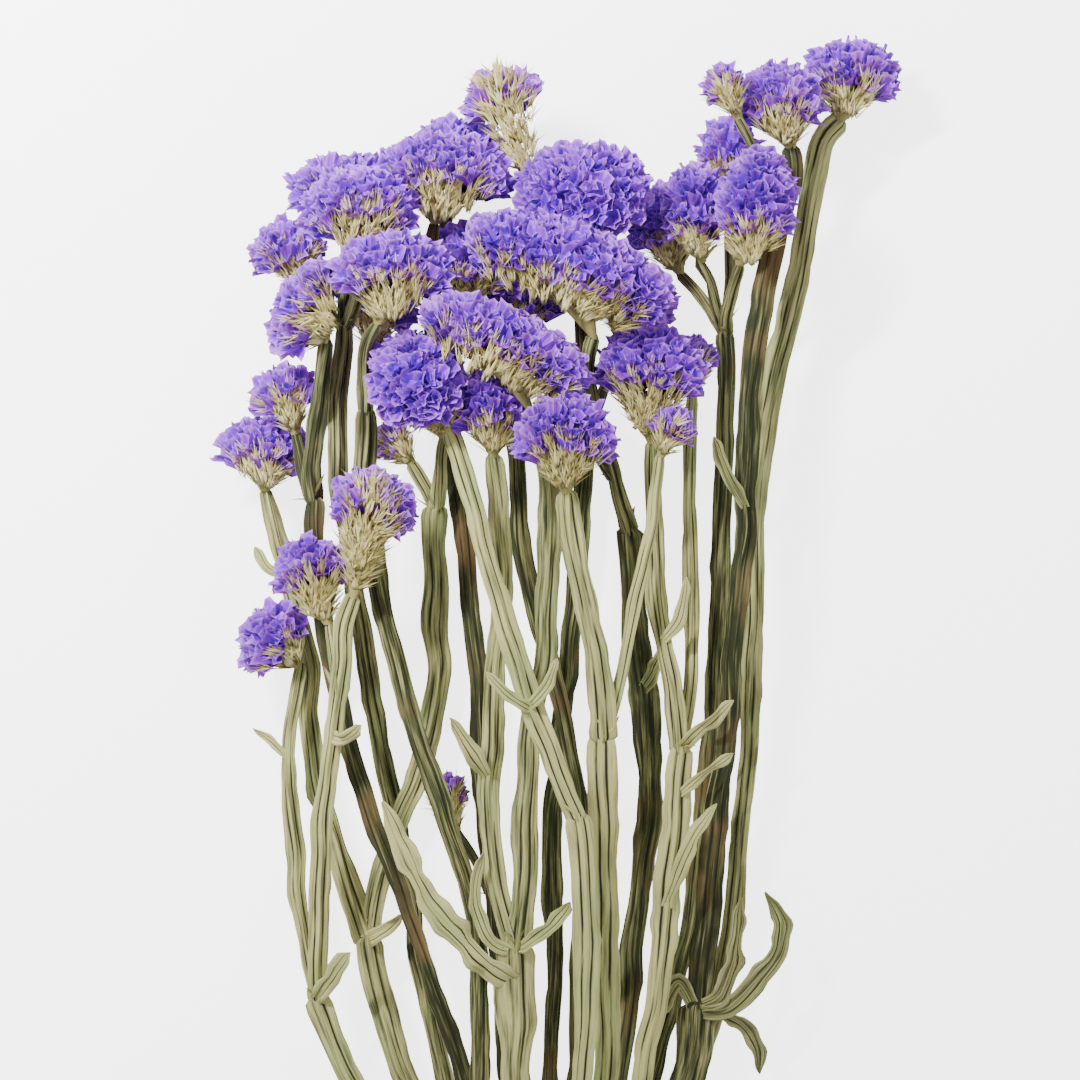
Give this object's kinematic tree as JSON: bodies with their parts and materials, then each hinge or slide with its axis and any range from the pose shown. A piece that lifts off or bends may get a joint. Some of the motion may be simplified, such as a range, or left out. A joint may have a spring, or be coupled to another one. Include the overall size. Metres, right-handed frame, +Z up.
{
  "type": "dried statice bunch",
  "caption": "Bunch of dried statice lying on a surface: winged sage stems, straw bracts and papery violet flower heads, tied with cord near the cut ends.",
  "frame": {"origin": "middle of the underside of the whole bunch, on the surface it lies on", "axes": "+Y along the bunch from the cut ends to the flower heads, +Z up away from the surface, +X to the right as the camera sees it"},
  "size_m": [0.199, 0.442, 0.0674],
  "materials": {
    "stem_sage": "dry, matte, streaked sage and straw",
    "floret_violet": "papery, matte, violet",
    "cord_jute": "twisted natural jute, matte"
  },
  "bodies": {
    "root": {"head_back_right": "floret_violet", "head_behind_fan": "floret_violet", "head_below_facing": "floret_violet", "head_big_dome": "floret_violet", "head_facing_left": "floret_violet", "head_fan_left": "floret_violet", "head_far_left": "floret_violet", "head_front": "floret_violet", "head_group_back": "floret_violet", "head_group_left": "floret_violet", "head_group_low": "floret_violet", "head_group_right": "floret_violet", "head_left_back": "floret_violet", "head_left_edge": "floret_violet", "head_left_fan": "floret_violet", "head_left_inner": "floret_violet", "head_left_lobe": "floret_violet", "head_left_round": "floret_violet", "head_left_shaded": "floret_violet", "head_left_small": "floret_violet", "head_left_spike": "floret_violet", "head_left_tiny": "floret_violet", "head_long_lower": "floret_violet", "head_long_upper": "floret_violet", "head_pyramid": "floret_violet", "head_right_crown": "floret_violet", "head_right_inner": "floret_violet", "head_right_middle": "floret_violet", "head_right_outer": "floret_violet", "head_right_side": "floret_violet", "head_round_centre": "floret_violet", "head_shaded_centre": "floret_violet", "head_small_front": "floret_violet", "head_small_right": "floret_violet", "head_tiny_low": "floret_violet", "head_top_spike": "floret_violet", "head_under_centre": "floret_violet", "head_under_left": "floret_violet", "stem_back_centre": "stem_sage", "stem_back_left": "stem_sage", "stem_bright_left": "stem_sage", "stem_bright_right": "stem_sage", "stem_broad_centre": "stem_sage", "stem_left_dark": "stem_sage", "stem_left_low": "stem_sage", "stem_left_outer": "stem_sage", "stem_right_forked": "stem_sage", "stem_right_group": "stem_sage", "stem_right_leafy": "stem_sage", "stem_right_tall": "stem_sage", "stem_right_wide": "stem_sage", "stem_smooth_inner": "stem_sage", "stem_smooth_outer": "stem_sage", "stem_under": "stem_sage", "tie": "cord_jute"}
  },
  "joints": []
}
